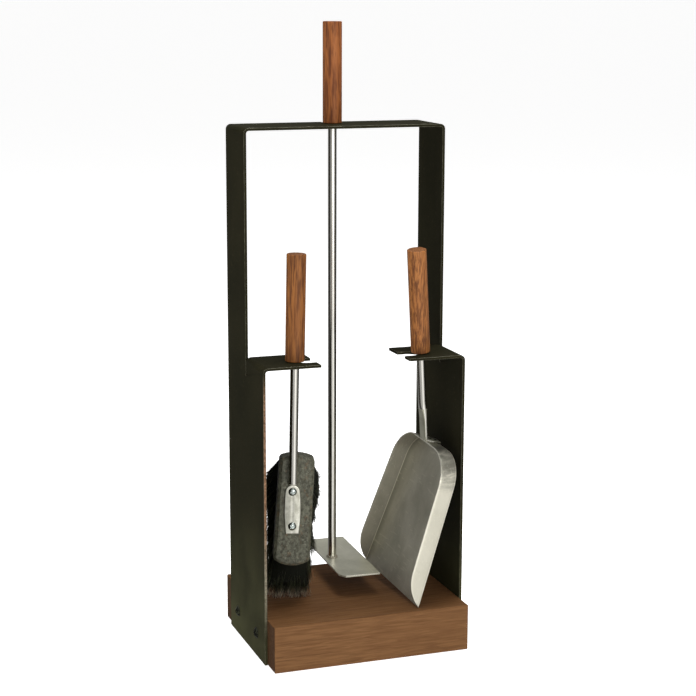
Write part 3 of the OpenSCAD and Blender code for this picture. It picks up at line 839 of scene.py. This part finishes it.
def dress_cad_nodes():
    coat, edge = black_steel(), edge_wear_and_highlight()
    paint("stand_frame", coat, edge)
    ease_edges("stand_frame", 0.3 * MM, 2, 1)
    screws = black_screws()
    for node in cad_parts:
        if node.startswith("screw_"):
            paint(node, screws)
    block = wood("block_wood", "X", shade((113, 80, 50)), shade((99, 68, 41)), shade((72, 47, 28)), 3.1, 0.6,
                 gloss=0.55, end_shade=0.65, shine=0.06, bold=0.45)
    paint("base_block", block)
    handles = {
        "scraper_handle": (shade((150, 90, 44)), shade((126, 70, 32)), shade((84, 43, 20)), 1.7),
        "brush_handle": (shade((142, 90, 42)), shade((120, 72, 32)), shade((82, 46, 22)), 5.3),
        "shovel_handle": (shade((160, 104, 54)), shade((134, 82, 40)), shade((90, 52, 26)), 8.9),
    }
    for node, (light, mid, dark, seed) in handles.items():
        low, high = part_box(node)
        centre = (low + high) / 2
        figure = wood(node + "_wood", "Z", light, mid, dark, seed, 1.3, (0, 0, 0), tuple(centre), bold=1.3)
        paint(node, figure)
    tube = polished_tube()
    for node in ("scraper_shaft", "brush_shaft"):
        paint(node, tube)
    blade = sheet_metal("blade_metal", shade((204, 202, 184)), shade((178, 177, 158)), 0.36, 0.5, 26, 0.6)
    # Painted highlight: the blade's bevelled edges are lighter and glossier than its face.
    blade_edge = sheet_metal("blade_edge", shade((236, 234, 224)), shade((214, 212, 202)), 0.25, 0.0)
    paint("scraper_blade", blade, blade_edge)
    ease_edges("scraper_blade", 0.25 * MM, 2, 1)
    plated = plated_steel()
    for node in ("brush_screw_upper", "brush_screw_lower", "shovel_rivet_upper", "shovel_rivet_lower"):
        paint(node, plated)
    paint("brush_block", worn_black_wood())
    ease_edges("brush_block", 1.0 * MM, 3, 0, 25)
    return tube


def dress_tools(tube):
    weld_bead(weld_metal())
    dark = bristle_core()
    plate = sheet_metal("plate_metal", shade((216, 214, 202)), shade((160, 159, 144)), 0.34, 1.0, 180)
    # The core's near-black material also paints the shadow on the plate's sides.
    spade_plate(plate, dark)
    bristle_core_piece(dark)
    bristle_hairs(bristle_hair())
    pressed = sheet_metal("pressed_metal", shade((180, 178, 160)), shade((144, 144, 126)), 0.4, 0.8, 60, 0.6)
    shovel_shaft(tube, pressed)
    pan = sheet_metal("pan_metal", shade((204, 200, 184)), shade((172, 169, 153)), 0.38, 0.8, 26, 0.75, True)
    # Painted highlight: the pan's rim is lighter and glossier than the sheet.
    pan_edge = sheet_metal("pan_edge", shade((236, 233, 220)), shade((214, 211, 198)), 0.3, 0.0, 26, 0.6)
    shovel_pan(pan, pan_edge)


# ---- stage ----

# Brightness around the horizon, by degrees anticlockwise from +X, and by height towards the zenith
STUDIO_SIDES = [(-180, 0.08), (-165, 0.14), (-150, 0.5), (-138, 0.7), (-122, 0.45), (-108, 0.6), (-92, 1.45),
                (-70, 1.5), (-58, 0.95), (-45, 0.45), (-25, 0.13), (0, 0.13), (40, 0.22), (80, 0.32),
                (118, 0.26), (140, 0.14), (180, 0.08)]
STUDIO_RISE = [(0.0, 1.0), (0.45, 0.9), (1.0, 0.35)]
STUDIO_STRENGTH = 1.0
FLOOR_GLOW = 0.72
FLOOR_HALF = 2000.0
CAMERA_AT = (-0.65586, -1.86775, 0.74135)
CAMERA_TILT = math.radians(78.688)
CAMERA_ROLL = math.radians(-0.1302)
CAMERA_TURN = math.radians(-19.4192)
CAMERA_LENS = 90.615


def make_floor():
    bm = bmesh.new()
    bmesh.ops.create_grid(bm, x_segments=12, y_segments=12, size=1)
    for v in bm.verts:
        v.co.x = math.copysign(abs(v.co.x) ** 4, v.co.x) * FLOOR_HALF
        v.co.y = math.copysign(abs(v.co.y) ** 4, v.co.y) * FLOOR_HALF
    mesh = bpy.data.meshes.new("floor")
    bm.to_mesh(mesh)
    bm.free()
    mesh.materials.append(pale_floor())
    floor = bpy.data.objects.new("floor", mesh)
    bpy.context.scene.collection.objects.link(floor)
    floor.visible_glossy = False


def make_world():
    """Surroundings by direction: a broad bright front, darker sides that outline the metal, a dim top."""
    world = bpy.data.worlds.new("studio")
    bpy.context.scene.world = world
    world.use_nodes = True
    tree = world.node_tree

    def node(kind, **values):
        made = tree.nodes.new(kind)
        for key, value in values.items():
            setattr(made, key, value)
        return made

    where = node("ShaderNodeTexCoord").outputs["Generated"]
    parts = node("ShaderNodeSeparateXYZ")
    tree.links.new(where, parts.inputs[0])
    around = node("ShaderNodeMath", operation="ARCTAN2")
    tree.links.new(parts.outputs["Y"], around.inputs[0])
    tree.links.new(parts.outputs["X"], around.inputs[1])
    turns = node("ShaderNodeMath", operation="MULTIPLY_ADD")
    tree.links.new(around.outputs[0], turns.inputs[0])
    turns.inputs[1].default_value = 0.5 / math.pi
    turns.inputs[2].default_value = 0.5
    sides = node("ShaderNodeValToRGB")
    tree.links.new(turns.outputs[0], sides.inputs[0])
    fill_ramp(sides.color_ramp, [(degrees / 360 + 0.5, colour) for degrees, colour in STUDIO_SIDES])
    rise = node("ShaderNodeValToRGB")
    tree.links.new(parts.outputs["Z"], rise.inputs[0])
    fill_ramp(rise.color_ramp, STUDIO_RISE)
    both = node("ShaderNodeMix", data_type="RGBA", blend_type="MULTIPLY")
    both.inputs[0].default_value = 1
    tree.links.new(sides.outputs[0], both.inputs[6])
    tree.links.new(rise.outputs[0], both.inputs[7])
    background = tree.nodes["Background"]
    tree.links.new(both.outputs[2], background.inputs["Color"])
    background.inputs["Strength"].default_value = STUDIO_STRENGTH


def area_light(name, place, target, size, power, colour=(1, 1, 1)):
    data = bpy.data.lights.new(name, "AREA")
    data.shape = "RECTANGLE"
    data.size, data.size_y = size
    data.energy = power
    data.color = colour
    light = bpy.data.objects.new(name, data)
    light.location = place
    light.rotation_euler = (Vector(target) - Vector(place)).to_track_quat("-Z", "Y").to_euler()
    bpy.context.scene.collection.objects.link(light)


def make_lights():
    area_light("front_softbox", (0.3, -2.7, 1.0), (0, 0, 0.3), (1.8, 1.8), 27)
    area_light("top_light", (0.35, 0.1, 2.6), (0, 0, 0.2), (1.2, 1.2), 54)
    area_light("left_softbox", (-2.0, 0.1, 1.9), (0, 0, 0.2), (1.2, 1.2), 24)


def make_camera():
    data = bpy.data.cameras.new("camera")
    data.sensor_width = 36
    data.lens = CAMERA_LENS
    camera = bpy.data.objects.new("camera", data)
    camera.location = CAMERA_AT
    camera.rotation_euler = (CAMERA_TILT, CAMERA_ROLL, CAMERA_TURN)
    bpy.context.scene.collection.objects.link(camera)
    bpy.context.scene.camera = camera


def plain(box):
    return [[float(c) for c in corner] for corner in box]


bpy.context.scene.view_settings.view_transform = "Standard"
make_camera()
make_floor()
make_world()
make_lights()
dress_tools(dress_cad_nodes())
